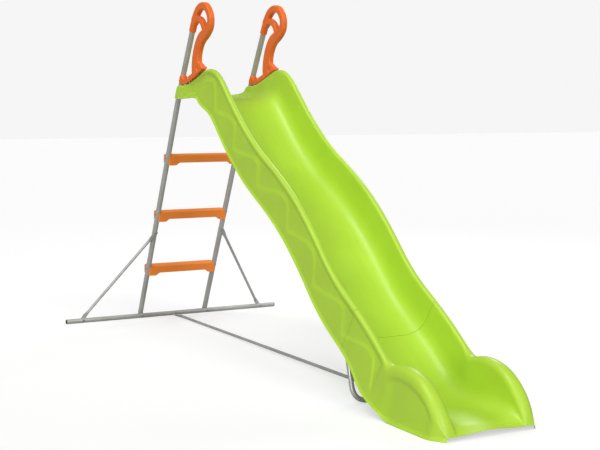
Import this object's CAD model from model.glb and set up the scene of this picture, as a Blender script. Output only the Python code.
"""Looks of the garden slide: moulded chute halves, handles, treads, tubes and fasteners.

Every surface is worked out with numpy on a grid or along a path, in the row frame.
Places down the slide are counted from the base bar's axis, which the frame gives.
"""

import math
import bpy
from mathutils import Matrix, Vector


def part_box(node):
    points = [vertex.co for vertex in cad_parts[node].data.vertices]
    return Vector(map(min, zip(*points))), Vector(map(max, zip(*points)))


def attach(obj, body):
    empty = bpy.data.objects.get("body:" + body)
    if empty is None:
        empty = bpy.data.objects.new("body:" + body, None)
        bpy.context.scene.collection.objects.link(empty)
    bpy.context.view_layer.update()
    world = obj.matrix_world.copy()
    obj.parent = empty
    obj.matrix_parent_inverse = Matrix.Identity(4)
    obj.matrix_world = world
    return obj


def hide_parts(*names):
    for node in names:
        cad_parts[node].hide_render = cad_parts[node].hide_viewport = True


bl_info = {
    "name": "Garden slide looks",
    "version": (1, 0, 0),
    "blender": (4, 5, 0),
    "location": "3D View > Sidebar > Slide",
    "description": "Builds the finished surfaces and the studio of a garden slide",
    "category": "Object",
}

import bmesh
import bpy
import numpy as np
from mathutils import Vector

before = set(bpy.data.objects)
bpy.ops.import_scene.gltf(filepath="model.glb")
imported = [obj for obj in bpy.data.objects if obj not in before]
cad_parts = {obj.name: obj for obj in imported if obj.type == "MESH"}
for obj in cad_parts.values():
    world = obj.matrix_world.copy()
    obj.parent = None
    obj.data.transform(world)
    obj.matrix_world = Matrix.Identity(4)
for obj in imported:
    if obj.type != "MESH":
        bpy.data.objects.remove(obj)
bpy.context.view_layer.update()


def middle(node):
    """The middle of a CAD node's box."""
    low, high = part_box(node)
    return (low + high) / 2


def size(node):
    """The three sides of a CAD node's box."""
    low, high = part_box(node)
    return high - low


# Places that the frame gives
BAR = middle("base_bar")
BAR_X = BAR.x
BAR_RADIUS = size("base_bar").z / 2 / math.cos(math.pi / 16)
HALF_BAR = size("base_bar").y / 2
HALF_POSTS = middle("lower_post_left").y
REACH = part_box("lower_chute")[1].x - BAR_X
FENDER_WIDTH = size("lower_chute").y

# Ladder
POST_RADIUS = 0.0140
POST_SETBACK = 0.02977       # post's axis behind the bar's, at the bar's height
POST_LEAN = math.radians(25.8)
UPPER_LEAN = math.radians(29.4)
DECK_HEIGHT = 1.255
BEND_HEIGHT = DECK_HEIGHT - 0.010
BEND_X = (BEND_HEIGHT - BAR_RADIUS) * math.tan(POST_LEAN) - POST_SETBACK
POST_TOP_RISE = 0.358
JOINT_DROP = 0.070
RUNG_HEIGHT = 0.046
RUNG_FRONT = 0.0185
RUNG_DEPTH = 0.078
TUBE_WALL = 0.0015
BRACE_SPREAD = 1.097         # between the braces' bolts on the bar
BRACE_HEIGHT = 0.510         # of the braces' bolts on the posts
GAP = 0.0003                 # between parts that touch
PRESSED = 0.0018             # half a pressed tube end with its gap
NUT_RADIUS = 0.0066
CHUTE_BOLT_RISE = 0.028      # of the chute's bolts above the posts' bend
RUNG_SCREW_DROP = 0.020      # of a tread's screws below its top

# Chute
SECTION_TILT = math.radians(28.0)
RIM_WIDTH = 0.027
HALF_CHUTE = 0.205
CHEEK = HALF_POSTS + POST_RADIUS + 0.0075
CHANNEL_DEPTH = 0.160
SKIRT_DEPTH = 0.200
RUN_OUT_HEIGHT = 0.044
LIP_WIDTH = 0.007
LIP_EDGE = 0.0035
SEAM_STATION = 17.0
LAST_STATION = 28.0

# Front support under the foot
SUPPORT_X = 2.322
SUPPORT_LEAN = math.radians(16.0)
SUPPORT_HEIGHT = 0.236
SUPPORT_SPACING = 0.388
SUPPORT_RADIUS = 0.0105

# Wave relief on the skirts
WAVE_NOTCHES = (0.775, 1.100, 1.301, 1.554, 1.843, 2.076, 2.315, 2.560)
WAVE_DEEP = 0.150
WAVE_SHALLOW = 0.047

LEAN = np.array([math.sin(POST_LEAN), 0, math.cos(POST_LEAN)])
FORWARD = np.array([math.cos(POST_LEAN), 0, -math.sin(POST_LEAN)])
UPPER = np.array([math.sin(UPPER_LEAN), 0, math.cos(UPPER_LEAN)])
UPPER_FORWARD = np.array([math.cos(UPPER_LEAN), 0, -math.sin(UPPER_LEAN)])
SIDES = ((-1, "right"), (1, "left"))


# ---------------------------------------------------------------- settings

class ChuteSettings(bpy.types.PropertyGroup):
    colour: bpy.props.FloatVectorProperty(
        name="Green", description="Colour of the moulded chute", subtype="COLOR",
        size=3, min=0, max=1, default=(0.420, 0.655, 0.036))
    wall: bpy.props.FloatProperty(
        name="Wall", description="Thickness of the moulded wall", unit="LENGTH", default=0.0040)
    relief: bpy.props.FloatProperty(
        name="Wave relief", description="How far the wave panels stand out", unit="LENGTH",
        default=0.0100)
    roughness: bpy.props.FloatProperty(
        name="Roughness", description="Roughness of the moulded skin", subtype="FACTOR",
        min=0, max=1, default=0.45)


class MouldingSettings(bpy.types.PropertyGroup):
    colour: bpy.props.FloatVectorProperty(
        name="Orange", description="Colour of the treads", subtype="COLOR",
        size=3, min=0, max=1, default=(0.930, 0.250, 0.026))
    handle_colour: bpy.props.FloatVectorProperty(
        name="Handle orange", description="Deeper colour of the handles", subtype="COLOR",
        size=3, min=0, max=1, default=(0.830, 0.150, 0.008))
    voxel: bpy.props.FloatProperty(
        name="Handle grain", description="Mesh step of the blended handles", unit="LENGTH",
        default=0.0017)
    blend: bpy.props.IntProperty(
        name="Blend", description="Rounds of smoothing where the handle's limbs meet", default=7)


class TubeSettings(bpy.types.PropertyGroup):
    colour: bpy.props.FloatVectorProperty(
        name="Tube grey", description="Colour of the coated tubes", subtype="COLOR",
        size=3, min=0, max=1, default=(0.470, 0.470, 0.445))
    bolt_colour: bpy.props.FloatVectorProperty(
        name="Bolt grey", description="Colour of the plated fasteners", subtype="COLOR",
        size=3, min=0, max=1, default=(0.420, 0.420, 0.410))


class StageSettings(bpy.types.PropertyGroup):
    floor: bpy.props.FloatVectorProperty(
        name="Floor", description="Colour of the studio floor", subtype="COLOR",
        size=3, min=0, max=1, default=(0.45, 0.45, 0.45))
    glow: bpy.props.FloatProperty(
        name="Floor glow", description="Light that the floor shows by itself", default=0.56)
    lens: bpy.props.FloatProperty(
        name="Lens", description="Focal length of the camera", subtype="DISTANCE_CAMERA",
        default=73.51)
    key: bpy.props.FloatProperty(
        name="Key light", description="Strength of the key light", default=1.05)
    top: bpy.props.FloatProperty(
        name="Top light", description="Strength of the light above the near side", default=1.20)
    back: bpy.props.FloatProperty(
        name="Back light", description="Power of the light that draws the rims' edges",
        unit="POWER", default=45)
    fill: bpy.props.FloatProperty(
        name="Fill light", description="Strength of the low front light", default=1.30)


# ---------------------------------------------------------------- mesh helpers

def new_piece(name, mesh, finish, *replaced):
    """Put a finished mesh in the scene; it rides on the root and stands for CAD nodes."""
    piece = bpy.data.objects.new(name, mesh)
    bpy.context.scene.collection.objects.link(piece)
    mesh.materials.clear()
    mesh.materials.append(finish_of(finish))
    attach(piece, "root")
    for node in replaced:
        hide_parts(node)
    return piece


def mesh_of(name, points, faces, sharp=40.0):
    """Points in bar coordinates and faces made a mesh in the row frame, normals outwards."""
    points = np.asarray(points, float) + np.array([BAR_X, 0, 0])
    mesh = bpy.data.meshes.new(name)
    mesh.from_pydata(points.tolist(), [], faces)
    bm = bmesh.new()
    bm.from_mesh(mesh)
    bmesh.ops.remove_doubles(bm, verts=bm.verts, dist=1e-6)
    bmesh.ops.recalc_face_normals(bm, faces=bm.faces)
    bm.to_mesh(mesh)
    bm.free()
    mesh.shade_smooth()
    mesh.set_sharp_from_angle(angle=math.radians(sharp))
    return mesh


def grid_faces(rows, columns, base=0, around=False):
    """Quads of a grid as a list; around joins the last column to the first."""
    i = np.arange(rows - 1)[:, None]
    j = np.arange(columns if around else columns - 1)[None, :]
    k = (j + 1) % columns
    quads = np.stack([i * columns + j, (i + 1) * columns + j,
                      (i + 1) * columns + k, i * columns + k], axis=-1)
    return (quads.reshape(-1, 4) + base).tolist()


def applied(piece_mesh, name, modifiers, cutters, sharp):
    """Run modifiers, given as (type, settings), then cut the cutters' meshes away.

    The result is smooth but for edges sharper than that many degrees.
    """
    carrier = bpy.data.objects.new(name + "_work", piece_mesh)
    tools = [bpy.data.objects.new(name + "_cutter", mesh) for mesh in cutters]
    for thing in [carrier] + tools:
        bpy.context.scene.collection.objects.link(thing)
    modifiers = modifiers + [("BOOLEAN", {"operation": "DIFFERENCE", "solver": "MANIFOLD",
                                          "object": tool}) for tool in tools]
    for kind, settings in modifiers:
        modifier = carrier.modifiers.new(kind.lower(), kind)
        for key, value in settings.items():
            setattr(modifier, key, value)
    bpy.context.view_layer.update()
    graph = bpy.context.evaluated_depsgraph_get()
    result = bpy.data.meshes.new_from_object(carrier.evaluated_get(graph), depsgraph=graph)
    for thing in [carrier] + tools:
        bpy.data.objects.remove(thing, do_unlink=True)
    if not result.polygons:
        raise RuntimeError(name + " came out empty")
    result.name = name
    result.shade_smooth()
    result.set_sharp_from_angle(angle=math.radians(sharp))
    return result


def catmull(points, places):
    """A curve through rows of points: the cubic that passes each and bends evenly between."""
    points = np.asarray(points, float)
    flat = points.reshape(len(points), -1)
    padded = np.vstack([2 * flat[0] - flat[1], flat, 2 * flat[-1] - flat[-2]])
    places = np.asarray(places, float)
    i = np.clip(np.floor(places).astype(int), 0, len(points) - 2)
    t = (places - i)[:, None]
    a, b, c, d = (padded[i + k] for k in range(4))
    value = 0.5 * (2 * b + (c - a) * t + (2 * a - 5 * b + 4 * c - d) * t ** 2
                   + (3 * b - a - 3 * c + d) * t ** 3)
    return value.reshape((len(places),) + points.shape[1:])


def eased(rows, width):
    """Rows blurred along the first axis with a bell of that many rows; the ends stay put."""
    reach = int(3 * width)
    bell = np.exp(-0.5 * (np.arange(-reach, reach + 1) / width) ** 2)
    bell /= bell.sum()
    flat = rows.reshape(len(rows), -1)
    before = 2 * flat[0] - flat[reach:0:-1]
    after = 2 * flat[-1] - flat[-2:-reach - 2:-1]
    padded = np.vstack([before, flat, after])
    out = np.stack([np.convolve(column, bell, "valid") for column in padded.T], axis=1)
    return out.reshape(rows.shape)


def step(x):
    """Smooth step: 0 below 0, 1 above 1, and 3x^2 - 2x^3 between."""
    x = np.clip(x, 0, 1)
    return x * x * (3 - 2 * x)


def soft_min(a, b, width):
    """The lesser of two, with the corner between them rounded over that width."""
    h = np.clip(0.5 + 0.5 * (b - a) / width, 0, 1)
    return b + (a - b) * h - width * h * (1 - h)


def normals_of(grid):
    """Unit normals of a grid: the cross product of its two slopes."""
    along = np.gradient(grid, axis=0)
    across = np.gradient(grid, axis=1)
    normals = np.cross(along, across)
    return normals / np.maximum(np.linalg.norm(normals, axis=2), 1e-12)[:, :, None]


def oblong(sides, power, shift=0.0):
    """Superellipse round the origin, x and y: a cosine and a sine, each raised to a power."""
    angle = 2 * math.pi * (np.arange(sides) + shift) / sides
    return [np.sign(wave) * np.abs(wave) ** power for wave in (np.cos(angle), np.sin(angle))]


def bent_path(points, radii, steps=9):
    """Straight runs joined by quadratic bends that start that far from each inner corner."""
    points = np.array(points, float)
    radii = np.broadcast_to(radii, len(points) - 2)
    t = np.linspace(0, 1, steps)[:, None]
    line = [points[:1]]
    for before, here, after, radius in zip(points, points[1:], points[2:], radii):
        back, ahead = np.linalg.norm(before - here), np.linalg.norm(after - here)
        reach = min(radius, 0.45 * back, 0.45 * ahead)
        start = here + (before - here) * reach / back
        end = here + (after - here) * reach / ahead
        line.append((1 - t) ** 2 * start + 2 * t * (1 - t) * here + t ** 2 * end)
    return np.vstack(line + [points[-1:]])


def rod(name, radius, length, start, direction):
    """A plain round cutter."""
    return lathe(name, [(0, 0), (radius, 0), (radius, length), (0, length)], start, direction, 48)


def turned(start, direction, up=(0, 0, 1)):
    """Three axes at a point: across, along the third, and the direction itself."""
    direction = np.asarray(direction, float)
    direction = direction / np.linalg.norm(direction)
    across = np.cross(up, direction)
    if np.linalg.norm(across) < 1e-6:
        across = np.array([0.0, 1.0, 0.0])
    across = across / np.linalg.norm(across)
    return np.asarray(start, float), across, np.cross(direction, across), direction


def lathe(name, profile, start, direction, sides=40, shape=None, sharp=35.0):
    """Profile of (radius, height) turned about a line. shape(angle, radius, height), when
    given, scales each radius, as a hexagon or a cross recess does."""
    start, across, along, axis = turned(start, direction)
    radius, height = np.array(profile, float).T
    angle = 2 * math.pi * np.arange(sides) / sides
    r = radius[:, None] * np.ones(sides)[None, :]
    h = height[:, None] * np.ones(sides)[None, :]
    if shape is not None:
        r, h = shape(angle[None, :], r, h)
    grid = (start + (r * np.cos(angle))[:, :, None] * across
            + (r * np.sin(angle))[:, :, None] * along + h[:, :, None] * axis)
    faces = grid_faces(len(profile), sides, around=True)
    return mesh_of(name, grid.reshape(-1, 3), faces, sharp)


# ---------------------------------------------------------------- materials

def material_of(name):
    """A new material: itself, its nodes, its shader and the object's own coordinates."""
    material = bpy.data.materials.new(name)
    material.use_nodes = True
    tree = material.node_tree
    place = tree.nodes.new("ShaderNodeTexCoord").outputs["Object"]
    return material, tree, tree.nodes["Principled BSDF"], place


def noise_node(tree, vector, scale, detail, roughness=0.55):
    node = tree.nodes.new("ShaderNodeTexNoise")
    node.inputs["Scale"].default_value = scale
    node.inputs["Detail"].default_value = detail
    node.inputs["Roughness"].default_value = roughness
    tree.links.new(vector, node.inputs["Vector"])
    return node.outputs["Fac"]


def ramp_node(tree, value, low, high, first, last):
    """Map a value from the span low to high onto first to last."""
    node = tree.nodes.new("ShaderNodeMapRange")
    node.inputs["From Min"].default_value = low
    node.inputs["From Max"].default_value = high
    node.inputs["To Min"].default_value = first
    node.inputs["To Max"].default_value = last
    tree.links.new(value, node.inputs["Value"])
    return node.outputs["Result"]


def mix_node(tree, factor, first, last):
    """Two colours, or sockets that give them, mixed by a factor."""
    node = tree.nodes.new("ShaderNodeMix")
    node.data_type = "RGBA"
    tree.links.new(factor, node.inputs["Factor"])
    for value, socket in ((first, node.inputs[6]), (last, node.inputs[7])):
        if isinstance(value, bpy.types.NodeSocket):
            tree.links.new(value, socket)
        else:
            socket.default_value = (*value, 1.0)
    return node.outputs[2]


def math_node(tree, operation, a, b):
    node = tree.nodes.new("ShaderNodeMath")
    node.operation = operation
    for value, socket in ((a, node.inputs[0]), (b, node.inputs[1])):
        if isinstance(value, bpy.types.NodeSocket):
            tree.links.new(value, socket)
        else:
            socket.default_value = value
    return node.outputs[0]


def dress(tree, shader, base, rough, layers, constants=()):
    """Link colour and roughness, set constants on the shader's own sockets, and chain bumps
    from (height, distance, strength) layers into its normal."""
    tree.links.new(base, shader.inputs["Base Color"])
    tree.links.new(rough, shader.inputs["Roughness"])
    for key, value in constants:
        shader.inputs[key].default_value = value
    normal = None
    for height, distance, strength in layers:
        node = tree.nodes.new("ShaderNodeBump")
        node.inputs["Distance"].default_value = distance
        node.inputs["Strength"].default_value = strength
        tree.links.new(height, node.inputs["Height"])
        if normal is not None:
            tree.links.new(normal, node.inputs["Normal"])
        normal = node.outputs["Normal"]
    tree.links.new(normal, shader.inputs["Normal"])


def shade(colour, factor):
    """A colour made lighter or darker."""
    return tuple(min(1.0, c * factor) for c in colour)


def moulded_plastic(name, colour, roughness, grain=700.0, worn=None):
    """Moulded skin: orange-peel ripple, fine pebble, mottled colour, and dull rubbed
    streaks down the slide where the attribute named by worn is high."""
    material, tree, shader, place = material_of(name)
    cloud = noise_node(tree, place, 5.0, 4.0)
    speckle = noise_node(tree, place, 160.0, 3.0)
    ripple = noise_node(tree, place, 38.0, 2.0)
    pebble = noise_node(tree, place, grain, 4.0)
    base = mix_node(tree, ramp_node(tree, cloud, 0.32, 0.68, 0, 1),
                    shade(colour, 0.955), shade(colour, 1.035))
    base = mix_node(tree, ramp_node(tree, speckle, 0.55, 0.80, 0, 0.35), base,
                    shade(colour, 1.12))
    rough = ramp_node(tree, cloud, 0.30, 0.70, roughness - 0.04, roughness + 0.05)
    layers = [(ripple, 0.0007, 0.35), (pebble, 0.00012, 0.30)]
    if worn is not None:
        attribute = tree.nodes.new("ShaderNodeAttribute")
        attribute.attribute_name = worn
        stretch = tree.nodes.new("ShaderNodeMapping")
        stretch.inputs["Scale"].default_value = (3.0, 150.0, 3.0)
        tree.links.new(place, stretch.inputs["Vector"])
        streak = noise_node(tree, stretch.outputs["Vector"], 1.0, 5.0, 0.7)
        rubbed = math_node(tree, "MULTIPLY", ramp_node(tree, streak, 0.52, 0.72, 0, 1),
                           attribute.outputs["Fac"])
        base = mix_node(tree, math_node(tree, "MULTIPLY", rubbed, 0.22), base,
                        shade(colour, 1.30))
        rough = math_node(tree, "ADD", rough, math_node(tree, "MULTIPLY", rubbed, 0.14))
        layers.append((streak, 0.00006, 0.25))
    dress(tree, shader, base, rough, layers,
          (("IOR", 1.50), ("Coat Weight", 0.08), ("Coat Roughness", 0.22)))
    return material


def coated_tube(name, colour):
    """Grey coated steel: fine metallic fleck, faint draw lines and small dull patches."""
    material, tree, shader, place = material_of(name)
    patch = noise_node(tree, place, 9.0, 5.0)
    fleck = noise_node(tree, place, 900.0, 2.0)
    skin = noise_node(tree, place, 240.0, 3.0)
    base = mix_node(tree, ramp_node(tree, patch, 0.35, 0.65, 0, 1),
                    shade(colour, 0.90), shade(colour, 1.06))
    base = mix_node(tree, ramp_node(tree, fleck, 0.50, 0.75, 0, 0.5), base, shade(colour, 1.35))
    dress(tree, shader, base, ramp_node(tree, patch, 0.3, 0.7, 0.34, 0.48),
          [(skin, 0.0002, 0.25), (fleck, 0.00005, 0.25)], [("Metallic", 0.45)])
    return material


def plated_steel(name, colour):
    """Zinc-plated fasteners: cloudy plating with darker stains and fine scratches."""
    material, tree, shader, place = material_of(name)
    stain = noise_node(tree, place, 120.0, 4.0)
    scratch = noise_node(tree, place, 1400.0, 2.0)
    base = mix_node(tree, ramp_node(tree, stain, 0.35, 0.65, 0, 1),
                    shade(colour, 0.70), shade(colour, 1.15))
    dress(tree, shader, base, ramp_node(tree, stain, 0.3, 0.7, 0.25, 0.42),
          [(scratch, 0.00004, 0.3)], [("Metallic", 1.0)])
    return material


def black_plastic(name):
    """End plugs: black with pale dust in patches and a fine grain."""
    material, tree, shader, place = material_of(name)
    grain = noise_node(tree, place, 900.0, 3.0)
    dust = noise_node(tree, place, 30.0, 4.0)
    base = mix_node(tree, ramp_node(tree, dust, 0.4, 0.7, 0, 1),
                    (0.016, 0.016, 0.017), (0.045, 0.045, 0.043))
    dress(tree, shader, base, ramp_node(tree, dust, 0.3, 0.7, 0.45, 0.6),
          [(grain, 0.0001, 0.3)])
    return material


def finish_of(name):
    """The shared materials, made when first asked for."""
    found = bpy.data.materials.get(name)
    if found is not None:
        return found
    scene = bpy.context.scene
    if name == "chute_green":
        return moulded_plastic(name, scene.slide_chute.colour, scene.slide_chute.roughness,
                               worn="rubbed")
    if name == "moulding_orange":
        return moulded_plastic(name, scene.slide_moulding.colour, 0.40, grain=1100.0)
    if name == "handle_orange":
        return moulded_plastic(name, scene.slide_moulding.handle_colour, 0.44, grain=1100.0)
    if name == "tube_coating":
        return coated_tube(name, scene.slide_tubes.colour)
    if name == "bolt_plating":
        return plated_steel(name, scene.slide_tubes.bolt_colour)
    return black_plastic(name)


# ---------------------------------------------------------------- chute

def bend_point(side):
    """Where a post's axis bends, under the deck."""
    return np.array([BEND_X, side * HALF_POSTS, BEND_HEIGHT])


def head_point(x, z):
    """A point counted from the posts' bend."""
    return (BEND_X + x, BEND_HEIGHT + z)


def foot_point(x, z):
    """A point counted back from the front of the foot."""
    return (REACH - x, z)


def wave_point(run, fall):
    """A rim point at shares of the way from the head to the foot."""
    start = head_point(0.523, 0.072)
    end = foot_point(0.434, 0.248)
    return (start[0] + run * (end[0] - start[0]), start[1] + fall * (end[1] - start[1]))


def chute_guides():
    """Rim, floor and skirt lines: one row of three (x, z) points for each station."""
    tilt = np.array([math.sin(SECTION_TILT), math.cos(SECTION_TILT)])
    deck = 0.050 / tilt[1]
    rim = 0.060
    tilted = [
        (head_point(0.030, rim), deck, 0.078),
        (head_point(0.070, rim - 0.001), deck + 0.006, 0.080),
        (head_point(0.110, rim - 0.002), deck + 0.012, 0.080),
        (head_point(0.210, 0.085), 0.106, 0.104),
        (head_point(0.320, 0.121), 0.148, 0.148),
        (head_point(0.378, 0.1325), CHANNEL_DEPTH + 0.004, 0.196),
        (head_point(0.450, 0.119), CHANNEL_DEPTH, SKIRT_DEPTH + 0.010),
    ]
    waves = ((0.0, 0.0), (0.078, 0.102), (0.165, 0.201), (0.266, 0.296), (0.391, 0.384),
             (0.494, 0.470), (0.574, 0.555), (0.641, 0.638), (0.702, 0.720), (0.774, 0.797),
             (0.861, 0.868), (0.939, 0.937), (1.0, 1.0))
    tilted += [(wave_point(run, fall), CHANNEL_DEPTH, SKIRT_DEPTH) for run, fall in waves]
    rows = [(np.array(p), np.array(p) - channel * tilt, np.array(p) - skirt * tilt)
            for p, channel, skirt in tilted]
    floor = RUN_OUT_HEIGHT
    for rim_at, floor_at, skirt_at in (
            ((0.376, 0.209), (0.425, floor + 0.024), (0.422, 0.032)),
            ((0.320, 0.220), (0.350, floor + 0.006), (0.350, 0.005)),
            ((0.262, 0.224), (0.280, floor), (0.282, LIP_EDGE)),
            ((0.202, 0.215), (0.215, floor), (0.215, LIP_EDGE)),
            ((0.142, 0.191), (0.155, floor), (0.152, LIP_EDGE)),
            ((0.088, 0.148), (0.100, floor - 0.001), (0.096, LIP_EDGE)),
            ((0.048, 0.100), (0.060, floor - 0.005), (0.052, LIP_EDGE)),
            ((0.020, 0.056), (0.034, floor - 0.011), (0.024, LIP_EDGE)),
            ((0.002, 0.016), (0.004, floor - 0.019), (0.002, LIP_EDGE))):
        rows.append(np.array([foot_point(*rim_at), foot_point(*floor_at), foot_point(*skirt_at)]))
    return np.array(rows)


def guide_lines(stations):
    """The guides at any stations, through a fine curve that is eased a little."""
    fine = 24
    places = np.linspace(0, LAST_STATION, int(LAST_STATION) * fine + 1)
    lines = eased(catmull(chute_guides(), places), 0.28 * fine)
    lines[:, 2, 1] = np.maximum(lines[:, 2, 1], LIP_EDGE)
    position = np.clip(stations, 0, LAST_STATION) * fine
    low = np.minimum(position.astype(int), len(places) - 2)
    share = (position - low)[:, None, None]
    return lines[low] * (1 - share) + lines[low + 1] * share


def chute_widths(x):
    """Half widths at the floor's edge, rim inside, rim outside and skirt edge."""
    head_x = head_point(0.030, 0)[0]
    start = foot_point(0.434, 0)[0]
    bulge = step((x - start) / 0.080)
    corner = np.clip((x - (REACH - 0.085)) / 0.085, 0, 1) ** 2
    around_post = 1 - step((x - head_x - 0.030) / 0.130)
    outside = HALF_CHUTE + around_post * (CHEEK - HALF_CHUTE) + bulge * 0.012
    inside = HALF_CHUTE - RIM_WIDTH - bulge * 0.020
    floor = inside - 0.014 + bulge * 0.006
    seam_x = wave_point(0.861, 0)[0]
    flare = step((x - seam_x) / (start - seam_x + 0.060))
    lean = 0.0035 * step((x - head_x) / 0.150)
    skirt = outside + lean + flare * (FENDER_WIDTH / 2 - LIP_WIDTH - outside - lean)
    return floor, inside, outside - corner * 0.020, skirt - corner * 0.042


def curve_between(first, corner, last, count):
    """Points of the quadratic curve from first to last that leans towards the corner."""
    t = np.linspace(0, 1, count)[None, :, None]
    return ((1 - t) ** 2 * first[:, None] + 2 * t * (1 - t) * corner[:, None]
            + t ** 2 * last[:, None])


def line_between(first, last, count):
    """Evenly spaced points strictly between two."""
    t = np.linspace(0, 1, count + 2)[None, 1:-1, None]
    return first[:, None] * (1 - t) + last[:, None] * t


def towards(start, end, distance):
    """Points that far from start on the way to end."""
    run = end - start
    length = np.maximum(np.linalg.norm(run, axis=1), 1e-9)[:, None]
    return start + run * np.minimum(distance[:, None] / length, 1)


def wave_depth(x):
    """Depth of the wave panels' upper edge below the rim: rises from each notch, rounds
    over and drops to the next, like a row of breaking waves."""
    notches = np.array(WAVE_NOTCHES)
    place = np.clip(np.searchsorted(notches, x) - 1, 0, len(notches) - 2)
    u = (x - notches[place]) / (notches[place + 1] - notches[place])
    rise = soft_min(np.clip(u, 0, 1) / 0.64, np.clip(1 - u, 0, 1) / 0.17, 0.36)
    rise = soft_min(rise, np.ones_like(rise), 0.30)
    return WAVE_DEEP - (WAVE_DEEP - WAVE_SHALLOW) * np.clip(rise, 0, 1)


def chute_rows(stations, relief):
    """The chute's upper surface as a grid, stations by points across.

    Each section runs from the floor's middle through a long fillet up the wall, over the
    rolled rim, down the skirt and out along its lip. The wave relief moves the skirt in.
    """
    lines = guide_lines(stations)
    rim, floor, skirt = lines[:, 0], lines[:, 1], lines[:, 2]
    w_floor, w_in, w_out, w_skirt = chute_widths(rim[:, 0])

    def at(line, width):
        return np.stack([line[:, 0], width, line[:, 1]], axis=1)

    zero = np.zeros(len(stations))
    up = rim - skirt
    height = np.linalg.norm(up, axis=1)
    lip_top = skirt + up / height[:, None] * np.minimum(0.010, 0.4 * height)[:, None]
    lip = LIP_WIDTH * (0.25 + 0.75 * step((rim[:, 0] - BEND_X - 0.060) / 0.120))
    a, b, c, d = at(floor, zero), at(floor, w_floor), at(rim, w_in), at(rim, w_out)
    e, f = at(lip_top, w_skirt), at(skirt, w_skirt + lip)
    b[:, 2] -= 0.009 * step((stations - 25.4) / 2.6)
    wall = np.linalg.norm(c - b, axis=1)
    side = np.linalg.norm(e - d, axis=1)
    bulge = step((rim[:, 0] - foot_point(0.434, 0)[0]) / 0.080)
    trim = (0.46 + 0.02 * bulge) * (w_out - w_in)
    trim_in = np.minimum(trim, 0.40 * wall)
    trim_out = np.minimum(trim * 1.25, 0.50 * side)
    lead = np.minimum(0.085, 0.6 * w_floor)
    tail = np.minimum(0.072, 0.50 * wall)
    lip_trim = np.minimum(0.004, 0.4 * side)
    b0, b1 = towards(b, a, lead), towards(b, c, tail)
    c0, c1 = towards(c, b, trim_in), towards(c, d, trim)
    d0, d1 = towards(d, c, trim), towards(d, e, trim_out)
    e0, e1 = towards(e, d, lip_trim), towards(e, f, lip_trim * 0.8)
    half = np.concatenate([
        a[:, None], line_between(a, b0, 3), curve_between(b0, b, b1, 9),
        line_between(b1, c0, 2), curve_between(c0, c, c1, 7), curve_between(d0, d, d1, 8),
        line_between(d1, e0, 36), curve_between(e0, e, e1, 4), f[:, None]], axis=1)
    first = 1 + 3 + 9 + 2 + 7 + 4    # column where the skirt's relief may start
    depth = np.hypot(half[:, :, 0] - rim[:, 0:1], half[:, :, 2] - rim[:, 1:2])
    x = rim[:, 0:1]
    panel = step((depth - 0.012) / 0.022)
    line = wave_depth(x + 0 * depth)
    hollow = step(0.5 + (line - depth) / 0.022) * (1 - 0.40 * np.clip(depth / line, 0, 1))
    faded = step((x - 0.70) / 0.10) * (1 - step((x - 2.545) / 0.030))
    ends = step((height[:, None] - 0.016 - depth) / 0.016)
    inset = relief * panel * hollow * faded * ends
    fender = step((x - 2.60) / 0.07) * (1 - step((x - (REACH - 0.10)) / 0.06))
    inset = inset + 0.7 * relief * fender * step((depth - 0.036) / 0.030)
    inset[:, :first] = 0
    inset[:, -1] = 0
    flat = half[:, :5, 1] / half[:, 4:5, 1]
    half[:, :5, 2] = a[:, 2:3] + (half[:, 4:5, 2] - a[:, 2:3]) * flat ** 1.8
    half[:, :, 1] -= inset
    mirrored = half[:, :0:-1] * np.array([1, -1, 1])
    return np.concatenate([mirrored, half], axis=1)


def closed_shell(name, top, thickness):
    """Upper grid and its offset copy along the normals, joined round the edge."""
    bottom = top - normals_of(top) * thickness
    rows, columns = top.shape[:2]
    for column in (0, -1):
        standing = top[:, column, 2] < LIP_EDGE + 0.001
        bottom[standing, column] = top[standing, column] * np.array([1, 1, 0])
    base = rows * columns
    faces = grid_faces(rows, columns) + grid_faces(rows, columns, base)
    number = np.arange(base).reshape(rows, columns)
    edge = np.concatenate([number[:, 0], number[-1, 1:], number[-2::-1, -1], number[0, -2:0:-1]])
    after = np.roll(edge, -1)
    faces += np.stack([edge, after, after + base, edge + base], axis=1).tolist()
    mesh = mesh_of(name, np.vstack([top.reshape(-1, 3), bottom.reshape(-1, 3)]), faces, 50)
    worn = mesh.attributes.new("rubbed", "FLOAT", "POINT")
    points = np.zeros(len(mesh.vertices) * 3)
    mesh.vertices.foreach_get("co", points)
    points = points.reshape(-1, 3)
    lines = guide_lines(np.linspace(0, LAST_STATION, 400))[:, 1]
    floor = np.interp(points[:, 0] - BAR_X, lines[:, 0], lines[:, 1])
    near = 1 - step((points[:, 2] - floor - 0.004) / 0.030)
    worn.data.foreach_set("value", near * (1 - step((np.abs(points[:, 1]) - 0.10) / 0.05)))
    return mesh


def upper_chute_mesh(settings):
    """The upper half, its rear edge scooped round each post."""
    dense = chute_rows(np.concatenate([np.linspace(0, 1.6, 161)[:-1],
                                       np.linspace(1.6, SEAM_STATION, 500)]), settings.relief)
    rows = dense.shape[0]
    away = dense - bend_point(0)
    away[:, :, 1] = np.abs(away[:, :, 1]) - HALF_POSTS
    away -= (away @ UPPER)[:, :, None] * UPPER
    inside = np.linalg.norm(away, axis=2) < POST_RADIUS + 0.0008
    early = np.arange(rows)[:, None] < 160
    start = np.where(inside & early, np.arange(rows)[:, None] + 1, 0).max(axis=0).astype(float)
    share = np.linspace(0, 1, 315)[:, None]
    position = start + (rows - 1 - start) * share
    low = np.minimum(position.astype(int), rows - 2)
    weight = (position - low)[:, :, None]
    column = np.arange(dense.shape[1])[None, :]
    top = dense[low, column] * (1 - weight) + dense[low + 1, column] * weight
    return closed_shell("upper_chute_shell", top, settings.wall)


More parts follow.
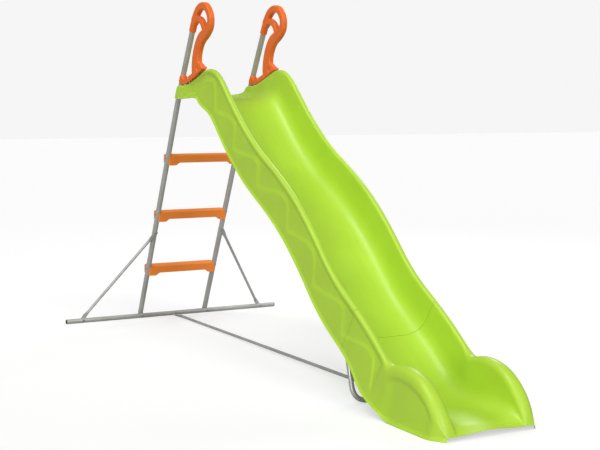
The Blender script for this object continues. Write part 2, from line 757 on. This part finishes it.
def lower_chute_mesh(settings):
    """The lower half: a thin tongue inside the upper one, a narrow groove, then the foot."""
    seam = SEAM_STATION
    tongue = np.array([-0.30, -0.15, 0.005])
    stations = np.concatenate([seam + tongue, [seam + 0.014, seam + 0.022, seam + 0.05],
                               np.linspace(seam + 0.1, 20, 80)[:-1], np.linspace(20, 26, 110)[:-1],
                               np.linspace(26, LAST_STATION, 46)])
    top = chute_rows(stations, settings.relief)
    inset = np.interp(stations, [seam + 0.006, seam + 0.014], [settings.wall + 0.0006, 0.0])
    top = top - normals_of(top) * inset[:, None, None]
    wall = np.interp(stations, [seam + 0.006, seam + 0.014, 26.0, 27.6],
                     [0.0022, settings.wall, settings.wall, 0.0014])
    return closed_shell("lower_chute_shell", top, wall[:, None, None])


def end_plate_mesh(side):
    """The plate across the hollow side of the chute, a rounded oblong with a soft edge."""
    half_plate = 0.00225
    centre = (bend_point(side) + UPPER * 0.019
              + UPPER_FORWARD * (POST_RADIUS + 2 * GAP + half_plate))
    wide, tall = oblong(48, 0.35)
    outline = (wide * 0.0185)[:, None] * np.array([0, 1.0, 0]) + (tall * 0.0240)[:, None] * UPPER
    rings = [centre + scale * outline + depth * half_plate * UPPER_FORWARD for scale, depth in
             ((0.0, -1), (0.96, -1), (1.0, -0.7), (1.0, 0.7), (0.96, 1), (0.0, 1))]
    return mesh_of("chute_end_plate", np.vstack(rings), grid_faces(6, 48, around=True))


class SLIDE_OT_chute(bpy.types.Operator):
    """Build both halves of the moulded chute and its end plates"""
    bl_idname = "slide.chute"
    bl_label = "Chute"

    def execute(self, context):
        settings = context.scene.slide_chute
        upper = new_piece("upper_chute_shell", upper_chute_mesh(settings), "chute_green",
                          "upper_chute")
        lower = new_piece("lower_chute_shell", lower_chute_mesh(settings), "chute_green",
                          "lower_chute")
        for shell in (upper, lower):
            edge = shell.modifiers.new("edge", "BEVEL")
            edge.width = 0.0011
            edge.segments = 2
            edge.limit_method = "ANGLE"
            edge.angle_limit = math.radians(60)
            edge.use_clamp_overlap = True
        for side, word in SIDES:
            new_piece("chute_end_plate_" + word, end_plate_mesh(side), "chute_green")
        return {"FINISHED"}


# ---------------------------------------------------------------- handles

LOOP_LINE = ((0.205, 0.372), (0.233, 0.398), (0.262, 0.424), (0.300, 0.440), (0.342, 0.439),
             (0.376, 0.421), (0.399, 0.392), (0.405, 0.362), (0.394, 0.334), (0.355, 0.308),
             (0.300, 0.284), (0.265, 0.250), (0.244, 0.212), (0.234, 0.172), (0.240, 0.142),
             (0.254, 0.116))
LOOP_WIDTHS = (0.030, 0.039, 0.038, 0.034, 0.034, 0.034, 0.034, 0.036, 0.041, 0.050,
               0.059, 0.064, 0.067, 0.075, 0.104, 0.132)
ARM_LINE = ((0.214, 0.360), (0.244, 0.381), (0.276, 0.378), (0.304, 0.366), (0.322, 0.350),
            (0.334, 0.328))
FOOT_PLACES = (0.048, 0.080, 0.110, 0.150, 0.205, 0.262, 0.324)
FOOT_WIDTHS = (0.030, 0.031, 0.030, 0.026, 0.014)
SCREW_PLACES = (0.152, 0.268)
BORE_RADIUS = POST_RADIUS + 0.0004


def limb(name, line, widths, thickness, side):
    """A limb of the handle: a rounded oblong section carried along a line in its plane.

    The section is a superellipse, |across/width|^n + |depth/thickness|^n = 1.
    """
    places = np.linspace(0, len(line) - 1, 14 * (len(line) - 1) + 1)
    flat = catmull(np.array(line), places)
    widths = np.interp(np.linspace(0, 1, len(flat)), np.linspace(0, 1, len(widths)), widths)
    path = bend_point(side) + np.insert(flat, 1, 0, axis=1)
    run = np.gradient(path, axis=0)
    run /= np.linalg.norm(run, axis=1)[:, None]
    across = np.cross(run, (0.0, 1.0, 0.0))
    wide, deep = oblong(32, 0.30)
    grid = (path[:, None] + (widths / 2)[:, None, None] * wide[None, :, None] * across[:, None]
            + thickness / 2 * deep[None, :, None] * np.array([0.0, 1.0, 0.0]))
    first, last = (np.repeat(end[:, None], 32, axis=1) for end in (path[:1], path[-1:]))
    grid = np.concatenate([first, grid, last])
    return mesh_of(name, grid.reshape(-1, 3), grid_faces(len(grid), 32, around=True))


def foot_line():
    """Middle line of the foot, which follows the chute's rim."""
    rim = guide_lines(np.linspace(0, 7, 200))[:, 0]
    places = np.array(FOOT_PLACES)
    z = np.interp(BEND_X + places, rim[:, 0], rim[:, 1]) - BEND_HEIGHT
    return np.stack([places, z + 0.0016 + 0.53 * max(FOOT_WIDTHS)], axis=1)


def screw_seat(place, side):
    """Seat of a screw in the handle's foot, and its direction square to the rim."""
    line = foot_line()
    slope = (line[-1, 1] - line[3, 1]) / (line[-1, 0] - line[3, 0])
    down = np.array([slope, 0, -1]) / math.hypot(slope, 1)
    z = np.interp(place, line[:, 0], line[:, 1])
    return np.array([BEND_X + place, side * HALF_POSTS - 0.007, BEND_HEIGHT + z]), down


def post_top(side):
    """The upper end of a post's axis."""
    return bend_point(side) + UPPER * POST_TOP_RISE / math.cos(UPPER_LEAN)


def capsule(name, start, end, radius):
    """A round-ended rod: its radius is r sin(angle) round each end."""
    length = np.linalg.norm(end - start)
    turn = np.linspace(0, math.pi / 2, 7)
    near = [(radius * math.sin(t), radius * (1 - math.cos(t))) for t in turn[1:]]
    far = [(r, length - h) for r, h in near[::-1]]
    return lathe(name, [(0, 0)] + near + far + [(0, length)], start, end - start, 28)


def handle_mesh(side, settings):
    """Limbs, socket and saddle made one skin, smoothed where they meet, then bored."""
    bend, top = bend_point(side), post_top(side)
    socket = 0.0178
    meshes = [
        limb("loop", LOOP_LINE, LOOP_WIDTHS, 0.0285, side),
        limb("arm", ARM_LINE, (0.029,), 0.0265, side),
        limb("foot", foot_line(), FOOT_WIDTHS, 0.030, side),
        lathe("socket", [(0, 0), (socket, 0), (socket, 0.030), (socket * 0.97, 0.056),
                         (0, 0.058)], top - UPPER * 0.040, UPPER),
        lathe("saddle", [(0, 0), (0.0192, 0), (0.0192, 0.030), (0.0165, 0.040),
                         (0.008, 0.046), (0, 0.047)],
              bend + UPPER * 0.086 + UPPER_FORWARD * 0.006, UPPER),
    ]
    joined = bmesh.new()
    for mesh in meshes:
        joined.from_mesh(mesh)
    whole = bpy.data.meshes.new("handle")
    joined.to_mesh(whole)
    joined.free()
    cutters = [rod("bore", BORE_RADIUS, np.linalg.norm(top - bend) + 0.0004, bend, UPPER)]
    for place in SCREW_PLACES:
        seat, down = screw_seat(place, side)
        mouth = seat + np.array([0, -0.0110, 0])
        cutters.append(capsule("pocket", seat - down * 0.026, seat + down * 0.0002, 0.0072))
        cutters.append(capsule("mouth", mouth - down * 0.031, mouth + down * 0.001, 0.0125))
    steps = [("REMESH", {"mode": "VOXEL", "voxel_size": settings.voxel}),
             ("SMOOTH", {"factor": 0.5, "iterations": settings.blend})]
    return applied(whole, "handle", steps, cutters, 38)


class SLIDE_OT_handles(bpy.types.Operator):
    """Build both looped handles"""
    bl_idname = "slide.handles"
    bl_label = "Handles"

    def execute(self, context):
        for side, word in SIDES:
            mesh = handle_mesh(side, context.scene.slide_moulding)
            new_piece("handle_moulding_" + word, mesh, "handle_orange", "handle_" + word)
        return {"FINISHED"}


# ---------------------------------------------------------------- treads

def post_point(height, side):
    """A point on a lower post's axis at that height."""
    x = (height - BAR_RADIUS) * math.tan(POST_LEAN) - POST_SETBACK
    return np.array([x, side * HALF_POSTS, height])


def tread_mesh(number):
    """A tread: an open-bottomed section carried across, drawn in and rounded at its ends.

    The section's lower edges drop at the ears by a smooth step of the distance to the end,
    and the whole section shrinks at the last millimetres as a quarter circle does.
    """
    top = number * DECK_HEIGHT / 4
    axis = post_point(top - RUNG_HEIGHT / 2, 0)
    front, back, high = RUNG_FRONT, RUNG_FRONT - RUNG_DEPTH, RUNG_HEIGHT
    corners = [(front - 0.0005, 0.0), (front + 0.0015, high - 0.0085), (front - 0.0075, high),
               (back + 0.007, high), (back, high - 0.007), (back, 0.008)]
    outline = bent_path(corners, (0.0028, 0.0030, 0.004, 0.004), 6)
    ribs = np.linspace(front - 0.016, back + 0.014, 60)
    wave = np.cos((ribs - front) * 2 * math.pi / 0.0075)
    flat = np.stack([ribs, high - 0.0007 * (0.5 - 0.5 * wave)], axis=1)
    outline = np.vstack([outline[:13], flat, outline[13:]])
    half = HALF_POSTS
    from_end = np.concatenate([[0.0, 0.0004, 0.0012, 0.0024, 0.004, 0.006, 0.009],
                               np.linspace(0.014, 0.070, 26), [0.10, 0.15, HALF_POSTS]])
    places = np.concatenate([-half + from_end, (half - from_end[:-1])[::-1]])
    distance = half - np.abs(places)
    drop = 0.014 * (1 - step((distance - 0.038) / 0.026))
    near_bottom = np.clip(1 - outline[:, 1] / 0.030, 0, 1)
    centre = np.array([(front + back) / 2, high / 2])
    quarter = np.sqrt(1 - (1 - np.clip(distance / 0.004, 0, 1)) ** 2)
    shrink = 1 - 0.07 * (1 - quarter)
    section = outline[None] * np.ones((len(places), 1, 1))
    section[:, :, 1] -= drop[:, None] * near_bottom[None, :]
    section = centre + (section - centre) * shrink[:, None, None]
    grid = np.stack([axis[0] + section[:, :, 0],
                     np.broadcast_to(places[:, None], section.shape[:2]),
                     top - high + section[:, :, 1]], axis=2)
    rows, columns = grid.shape[:2]
    faces = grid_faces(rows, columns)
    ends = np.arange(columns)
    faces.append(ends[::-1].tolist())
    faces.append((ends + (rows - 1) * columns).tolist())
    mesh = mesh_of("tread", grid.reshape(-1, 3), faces, 30)
    length = 0.16 / math.cos(POST_LEAN)
    cutters = [rod("notch", BORE_RADIUS, length, post_point(top - high - 0.060, side), LEAN)
               for side in (-1, 1)]
    shell = ("SOLIDIFY", {"thickness": 0.003, "offset": -1.0})
    return applied(mesh, "tread_%d" % number, [shell], cutters, 30)


class SLIDE_OT_treads(bpy.types.Operator):
    """Build the three moulded treads of the ladder"""
    bl_idname = "slide.treads"
    bl_label = "Treads"

    def execute(self, context):
        for number in (1, 2, 3):
            new_piece("tread_moulding_%d" % number, tread_mesh(number), "moulding_orange",
                      "rung_%d" % number)
        return {"FINISHED"}


# ---------------------------------------------------------------- tubes

def ring_frames(path, first):
    """Two axes square to a path at each point, carried along it without twist."""
    run = np.gradient(path, axis=0)
    run /= np.linalg.norm(run, axis=1)[:, None]
    sides = np.zeros_like(path)
    side = np.array(first, float)
    for k, direction in enumerate(run):
        side = side - direction * np.dot(side, direction)
        side /= np.linalg.norm(side)
        sides[k] = side
    return run, sides, np.cross(run, sides)


def tube_mesh(name, path, radius, first=(0, 1, 0), sides=48, depth=0.030):
    """A round tube along a path, its open ends turned in with a rounded edge and a bore."""
    path = np.array(path, float)
    run, across, along = ring_frames(path, first)
    radii = np.broadcast_to(radius, len(path)).astype(float)
    angle = 2 * math.pi * np.arange(sides) / sides
    round_off = 0.0004

    def ring(k, r, shift):
        centre = path[k] + run[k] * shift
        return (centre + (r * np.cos(angle))[:, None] * across[k]
                + (r * np.sin(angle))[:, None] * along[k])

    def mouth(k, inward):
        outer, inner = radii[k], radii[k] - TUBE_WALL
        return [ring(k, 1e-5, inward * depth), ring(k, inner, inward * depth),
                ring(k, inner, inward * round_off), ring(k, inner + round_off, 0),
                ring(k, outer - round_off, 0), ring(k, outer, inward * round_off)]

    rings = mouth(0, 1) + [ring(k, radii[k], 0) for k in range(1, len(path) - 1)]
    rings += mouth(len(path) - 1, -1)[::-1]
    grid = np.array(rings)
    return mesh_of(name, grid.reshape(-1, 3), grid_faces(len(grid), sides, around=True), 40)


def pressed_tube(name, path, normals, flat, radius, sides=44, tips=(True, True)):
    """A tube whose section goes from round to a flat oblong where flat goes from 0 to 1.

    The section is |across/w|^n + |up/h|^n = 1 with n from 2 to 6, and w, h blended between
    the round radius and the pressed half sizes. A tip is drawn in as a half circle.
    """
    path, normals = np.array(path, float), np.array(normals, float)
    gaps = np.concatenate([[0], np.cumsum(np.linalg.norm(np.diff(path, axis=0), axis=1))])
    tip, press = np.linspace(0, 0.04, 26), np.linspace(-0.01, 0.09, 30)
    places = np.unique(np.concatenate([
        np.linspace(0, gaps[-1], 60), gaps[0] + tip, gaps[-1] - tip,
        gaps[1] + press.clip(-gaps[1] * 0.5), gaps[-2] - press.clip(gaps[-2] - gaps[-1])]))
    places = places[(places >= 0) & (places <= gaps[-1])]

    line, thin = (np.stack([np.interp(places, gaps, column) for column in rows.T], axis=1)
                  for rows in (path, normals))
    pressed = step(np.interp(places, gaps, flat))
    run = np.gradient(line, axis=0)
    run /= np.linalg.norm(run, axis=1)[:, None]
    thin -= run * np.sum(run * thin, axis=1)[:, None]
    thin /= np.linalg.norm(thin, axis=1)[:, None]
    across = np.cross(run, thin)
    wide = radius + pressed * (0.0115 - radius)
    high = radius + pressed * (0.0015 - radius)
    for is_tip, distance in ((tips[0], places), (tips[1], places[-1] - places)):
        if is_tip:
            share = np.clip(distance / 0.0112, 0, 1)
            wide = wide * np.sqrt(np.clip(1 - (1 - share) ** 2, 1e-5, 1))
    x, y = oblong(sides, 2 / (2 + 3 * pressed)[:, None], 0.5)
    grid = (line[:, None] + (wide[:, None] * x)[:, :, None] * across[:, None]
            + (high[:, None] * y)[:, :, None] * thin[:, None])
    grid = np.concatenate([np.repeat(line[:1, None], sides, axis=1), grid,
                           np.repeat(line[-1:, None], sides, axis=1)])
    return mesh_of(name, grid.reshape(-1, 3), grid_faces(len(grid), sides, around=True), 55)


class SLIDE_OT_posts(bpy.types.Operator):
    """Build the ladder's posts, each a lower tube and a bent upper one"""
    bl_idname = "slide.posts"
    bl_label = "Posts"

    def execute(self, context):
        for side, word in SIDES:
            bend = bend_point(side)
            joint = bend - LEAN * JOINT_DROP
            foot = post_point(0.5 * POST_RADIUS, side)
            ends = [joint - LEAN * 0.0015, joint, joint + LEAN * 0.002, joint + LEAN * 0.030]
            line = np.vstack([np.linspace(foot, joint - LEAN * 0.012, 30), ends])
            swage = POST_RADIUS - TUBE_WALL - 0.0002
            radii = np.full(len(line), POST_RADIUS)
            radii[-3:] = (POST_RADIUS - 0.0006, swage, swage)
            new_piece("post_tube_lower_" + word, tube_mesh("post", line, radii), "tube_coating",
                      "lower_post_" + word)
            line = bent_path([joint + LEAN * 0.0004, bend, post_top(side) - UPPER * 0.001], 0.030)
            new_piece("post_tube_upper_" + word, tube_mesh("post", line, POST_RADIUS),
                      "tube_coating", "upper_post_" + word)
        return {"FINISHED"}


class SLIDE_OT_base(bpy.types.Operator):
    """Build the cross bar, its plugs, the braces, the ground tube and the front support"""
    bl_idname = "slide.base"
    bl_label = "Base"

    def execute(self, context):
        bar = np.linspace((0, -HALF_BAR, BAR_RADIUS), (0, HALF_BAR, BAR_RADIUS), 60)
        new_piece("cross_bar", tube_mesh("bar", bar, BAR_RADIUS, (1, 0, 0)), "tube_coating",
                  "base_bar")
        inside = BAR_RADIUS - TUBE_WALL - GAP
        profile = [(0, -0.018), (inside, -0.018), (inside, GAP), (BAR_RADIUS, GAP),
                   (BAR_RADIUS, 0.0018), (BAR_RADIUS - 0.0008, 0.0028), (BAR_RADIUS * 0.7, 0.0040),
                   (BAR_RADIUS * 0.35, 0.0044), (0, 0.0045)]
        for side, word in SIDES:
            plug = lathe("plug", profile, (0, side * HALF_BAR, BAR_RADIUS), (0, side, 0), 48)
            new_piece("bar_end_plug_" + word, plug, "plug_black", "bar_plug_" + word)
            self.brace(side, word)
        self.ground_tube()
        self.support()
        return {"FINISHED"}

    def brace(self, side, word):
        """A tube with pressed ends, one flat behind the bar and one on the post."""
        low, high = brace_bolts(side)
        run = high - low
        rearward = np.array([-1.0, 0, 0])
        by_bar = run - rearward * np.dot(run, rearward)
        by_bar /= np.linalg.norm(by_bar)
        by_post = run - FORWARD * np.dot(run, FORWARD)
        by_post /= np.linalg.norm(by_post)
        first, last = low + by_bar * 0.030, high - by_post * 0.030
        slope = (last - first) / np.linalg.norm(last - first)
        path = [low - by_bar * 0.011, low + by_bar * 0.012, first, first + slope * 0.034,
                last - slope * 0.034, last, high - by_post * 0.012, high + by_post * 0.011]
        mesh = pressed_tube("brace", path, [rearward] * 4 + [-FORWARD] * 4,
                            (1, 1, 1, 0, 0, 1, 1, 1), 0.0075)
        new_piece("brace_tube_" + word, mesh, "tube_coating", "brace_" + word)

    def ground_tube(self):
        """The tube along the ground: a long rear half plugged into a front one."""
        thin, radius = 0.0015, 0.0075
        tab = BAR_RADIUS + GAP + thin
        rise = SUPPORT_RADIUS * 2 + GAP + thin
        start = np.array([0.090, 0, radius + GAP])
        end = np.array([SUPPORT_X - 0.075, 0, rise - 0.004])
        joint = start + (end - start) * (1.145 - start[0]) / (end[0] - start[0])
        slope = (end - start) / np.linalg.norm(end - start)
        forward, up = np.array([1.0, 0, 0]), np.array([0, 0, 1.0])
        path = [(tab, 0, 0.0245), (tab, 0, 0.0056), (tab + 0.0012, 0, 0.0031),
                (tab + 0.004, 0, PRESSED), (0.055, 0, PRESSED), start,
                joint - slope * 0.004, joint + slope * 0.030]
        mesh = pressed_tube("ground", path, [forward] * 2 + [forward + up] + [up] * 5,
                            (1, 1, 1, 1, 1, 0, 0, 0), radius - 0.0006, tips=(True, False))
        new_piece("ground_tube_long", mesh, "tube_coating", "ground_tube_rear")
        path = [joint, joint + slope * 0.02, end, (SUPPORT_X - 0.038, 0, rise),
                (SUPPORT_X - 0.015, 0, rise), (SUPPORT_X + 0.012, 0, rise)]
        mesh = pressed_tube("ground", path, [up] * 6, (0, 0, 0, 1, 1, 1), radius,
                            tips=(False, True))
        new_piece("ground_tube_short", mesh, "tube_coating", "ground_tube_front")

    def support(self):
        """One tube bent into a U, leaning back into the chute's hollow sides."""
        half = SUPPORT_SPACING / 2
        lean = np.array([-math.sin(SUPPORT_LEAN), 0, math.cos(SUPPORT_LEAN)])
        foot = np.array([SUPPORT_X, 0, SUPPORT_RADIUS + GAP])
        length = (SUPPORT_HEIGHT - foot[2]) / lean[2]
        corners = [foot + lean * rise + np.array([0, y, 0]) for y, rise in
                   ((-half, length), (-half, 0), (half, 0), (half, length))]
        line = bent_path(corners, 0.066, 16)
        mesh = tube_mesh("support", line, SUPPORT_RADIUS, (1, 0, 0.3))
        new_piece("front_support_tube", mesh, "tube_coating", "front_support")


def brace_bolts(side):
    """Bolt places of a brace: behind the bar, and on the front of the post."""
    low = np.array([-(BAR_RADIUS + PRESSED), side * BRACE_SPREAD / 2, BAR_RADIUS])
    high = post_point(BRACE_HEIGHT, side) + FORWARD * (POST_RADIUS + PRESSED)
    return low, high


# ---------------------------------------------------------------- fasteners

def cross_recess(depth, reach, width):
    """A shape for lathe: a cross pressed into a head, depth fading at its arms' ends."""
    def shape(angle, r, h):
        u, v = np.abs(r * np.cos(angle)), np.abs(r * np.sin(angle))
        arm = 1 - step((np.minimum(u, v) - width) / (0.5 * width))
        arm = arm * (1 - step((r - reach * 0.6) / (reach * 0.4)))
        on_top = h < -0.0004
        return r, h + depth * arm * on_top
    return shape


def bolt_mesh(seat, direction, grip, radius=0.0030, head=0.0065, high=0.0036):
    """A domed head with a cross recess on its shank; the head stands back from the seat."""
    t = np.linspace(0, math.pi / 2, 14)
    dome = [(head * math.sin(a) * 0.96, -high * (0.25 + 0.75 * math.cos(a))) for a in t]
    dome[0] = (0, -high)
    profile = dome + [(head, -high * 0.12), (head, -0.0001), (radius, 0), (radius, grip - 0.0008),
                      (radius - 0.0007, grip), (0, grip)]
    recess = cross_recess(0.0016, head * 0.62, head * 0.11)
    return lathe("bolt", profile, seat, direction, 40, recess)


def nut_mesh(seat, direction, radius=NUT_RADIUS, high=0.0050, bore=0.0034):
    """A hexagon nut: flats from r = R cos 30 / cos(a mod 60 - 30), corners chamfered."""
    def hexagon(angle, r, h):
        a = np.mod(angle, math.pi / 3) - math.pi / 6
        flat = radius * math.cos(math.pi / 6) / np.cos(a)
        return np.where(r > radius * 0.8, np.minimum(r, flat), r), h
    low = radius * 0.90
    profile = [(bore, 0), (low, 0), (radius, 0.0007), (radius, high - 0.0007), (low, high),
               (bore + 0.0004, high), (bore, high - 0.0004), (bore, 0)]
    return lathe("nut", profile, seat, direction, 48, hexagon)


class SLIDE_OT_fasteners(bpy.types.Operator):
    """Build the bolts, nuts and screws that hold the slide together"""
    bl_idname = "slide.fasteners"
    bl_label = "Fasteners"

    def execute(self, context):
        back = np.array([-1.0, 0, 0])
        face = BAR_RADIUS + GAP
        pressed = 2 * PRESSED
        behind_post = (POST_SETBACK + POST_RADIUS / math.cos(POST_LEAN) + GAP
                       + NUT_RADIUS * math.tan(POST_LEAN))
        for side, word in SIDES:
            self.pair("bar", word, (face, side * HALF_POSTS, BAR_RADIUS), back,
                      face + behind_post)
            self.pair("brace_low", word, (face, side * BRACE_SPREAD / 2, BAR_RADIUS), back,
                      face + BAR_RADIUS + pressed)
            self.pair("brace_high", word,
                      post_point(BRACE_HEIGHT, side) + FORWARD * (POST_RADIUS + pressed),
                      -FORWARD, 2 * POST_RADIUS + pressed + GAP)
            self.pair("chute", word, bend_point(side) + UPPER * CHUTE_BOLT_RISE
                      - UPPER_FORWARD * (POST_RADIUS + GAP), UPPER_FORWARD,
                      2 * POST_RADIUS + 0.0057)
            for number in (1, 2, 3):
                seat = post_point(number * DECK_HEIGHT / 4 - RUNG_SCREW_DROP, side)
                seat = seat + np.array([0, side * (POST_RADIUS + GAP), 0])
                self.screw("rung_screw_%d_%s" % (number, word), seat, (0, -side, 0), 0.0318)
            for number, place in enumerate(SCREW_PLACES, 1):
                seat, down = screw_seat(place, side)
                self.screw("handle_screw_%d_%s" % (number, word), seat - down * GAP, down, 0.028)
        face = BAR_RADIUS + pressed
        self.pair("ground_tube", "", (face, 0, BAR_RADIUS), back, face + BAR_RADIUS + GAP)
        top = 2 * SUPPORT_RADIUS + pressed + GAP
        head = bolt_mesh((SUPPORT_X, 0, top), (0, 0, -1), top - SUPPORT_RADIUS)
        new_piece("steel_support_screw", head, "bolt_plating", "support_screw")
        return {"FINISHED"}

    def pair(self, name, word, seat, direction, grip):
        """A bolt through the parts and its nut where the grip ends."""
        seat, direction = np.array(seat, float), np.array(direction, float)
        bolt, nut = (("%s_%s_%s" % (name, kind, word)).rstrip("_") for kind in ("bolt", "nut"))
        new_piece("steel_" + bolt, bolt_mesh(seat, direction, grip + 0.0050), "bolt_plating", bolt)
        new_piece("steel_" + nut, nut_mesh(seat + direction * grip, direction), "bolt_plating", nut)

    def screw(self, name, seat, direction, length):
        mesh = bolt_mesh(seat, direction, length, 0.0022, 0.0052, 0.0026)
        new_piece("steel_" + name, mesh, "bolt_plating", name)


# ---------------------------------------------------------------- stage

CAMERA_PLACE = (6.4692 + BAR_X, -2.6977, 1.1915)
CAMERA_YAW = math.radians(28.553)
CAMERA_PITCH = math.radians(5.508)
LIGHT_AIM = Vector((0, 0, 0.6))


class SLIDE_OT_stage(bpy.types.Operator):
    """Build the pale floor, the soft lights and the camera"""
    bl_idname = "slide.stage"
    bl_label = "Stage"

    def execute(self, context):
        settings = context.scene.slide_stage
        self.floor(settings)
        world = bpy.data.worlds.new("studio")
        world.use_nodes = True
        sky = world.node_tree.nodes["Background"]
        seen = world.node_tree.nodes.new("ShaderNodeLightPath").outputs["Is Camera Ray"]
        world.node_tree.links.new(ramp_node(world.node_tree, seen, 0, 1, 0.30, 0.92),
                                  sky.inputs["Strength"])
        sky.inputs["Color"].default_value = (1.0, 1.0, 1.0, 1.0)
        context.scene.world = world
        self.light("key", "SUN", (5.0, 0.4, 4.4), settings.key)
        self.light("top", "SUN", (0.3, -2.0, 5.6), settings.top)
        self.light("fill", "SUN", (4.0, -4.8, 1.8), settings.fill)
        self.light("back", "AREA", (-2.6, 3.2, 3.6), settings.back)
        camera = bpy.data.objects.new("camera", bpy.data.cameras.new("camera"))
        camera.data.lens = settings.lens
        camera.data.sensor_width = 36.0
        camera.location = CAMERA_PLACE
        level = math.cos(CAMERA_PITCH)
        view = Vector((-math.cos(CAMERA_YAW) * level, math.sin(CAMERA_YAW) * level,
                       -math.sin(CAMERA_PITCH)))
        camera.rotation_euler = view.to_track_quat("-Z", "Y").to_euler()
        context.scene.collection.objects.link(camera)
        context.scene.camera = camera
        context.scene.view_settings.view_transform = "Standard"
        return {"FINISHED"}

    def floor(self, settings):
        """A wide sheet that shows pale to the camera and lights the slide less."""
        mesh = bpy.data.meshes.new("floor")
        corners = ((-40, -40, 0), (40, -40, 0), (40, 40, 0), (-40, 40, 0))
        mesh.from_pydata(corners, [], [(0, 1, 2, 3)])
        floor = bpy.data.objects.new("floor", mesh)
        material, tree, shader, place = material_of("floor_paper")
        cloud = noise_node(tree, place, 0.8, 3.0)
        tree.links.new(mix_node(tree, cloud, shade(settings.floor, 0.99), settings.floor[:]),
                       shader.inputs["Base Color"])
        shader.inputs["Roughness"].default_value = 0.6
        shader.inputs["Emission Color"].default_value = (1.0, 1.0, 1.0, 1.0)
        seen = tree.nodes.new("ShaderNodeLightPath").outputs["Is Camera Ray"]
        tree.links.new(ramp_node(tree, seen, 0, 1, 0.0, settings.glow),
                       shader.inputs["Emission Strength"])
        mesh.materials.append(material)
        bpy.context.scene.collection.objects.link(floor)

    def light(self, name, kind, place, strength):
        """A soft lamp at a place, aimed at the slide's middle."""
        lamp = bpy.data.lights.new(name, kind)
        lamp.energy = strength
        if kind == "AREA":
            lamp.shape = "DISK"
            lamp.size = 1.4
        else:
            lamp.angle = math.radians(24)
        light = bpy.data.objects.new(name, lamp)
        light.location = place
        light.rotation_euler = (LIGHT_AIM - Vector(place)).to_track_quat("-Z", "Y").to_euler()
        bpy.context.scene.collection.objects.link(light)


# ---------------------------------------------------------------- panel

OPERATORS = (SLIDE_OT_chute, SLIDE_OT_handles, SLIDE_OT_treads, SLIDE_OT_posts, SLIDE_OT_base,
             SLIDE_OT_fasteners, SLIDE_OT_stage)
SETTINGS = (("slide_chute", ChuteSettings), ("slide_moulding", MouldingSettings),
            ("slide_tubes", TubeSettings), ("slide_stage", StageSettings))


class SLIDE_PT_panel(bpy.types.Panel):
    """Lists the slide's settings and the buttons that build its pieces"""
    bl_idname = "SLIDE_PT_panel"
    bl_label = "Garden slide"
    bl_space_type = "VIEW_3D"
    bl_region_type = "UI"
    bl_category = "Slide"

    def draw(self, context):
        for name, group in SETTINGS:
            box = self.layout.box()
            for prop in group.__annotations__:
                box.prop(getattr(context.scene, name), prop)
        for operator in OPERATORS:
            self.layout.operator(operator.bl_idname)


def register():
    for name, group in SETTINGS:
        bpy.utils.register_class(group)
        setattr(bpy.types.Scene, name, bpy.props.PointerProperty(type=group))
    for cls in OPERATORS + (SLIDE_PT_panel,):
        bpy.utils.register_class(cls)


def unregister():
    for cls in (SLIDE_PT_panel,) + OPERATORS[::-1]:
        bpy.utils.unregister_class(cls)
    for name, group in SETTINGS[::-1]:
        delattr(bpy.types.Scene, name)
        bpy.utils.unregister_class(group)


def main():
    register()
    bpy.ops.slide.chute()
    bpy.ops.slide.handles()
    bpy.ops.slide.treads()
    bpy.ops.slide.posts()
    bpy.ops.slide.base()
    bpy.ops.slide.fasteners()
    bpy.ops.slide.stage()


if __name__ == "__main__":
    main()
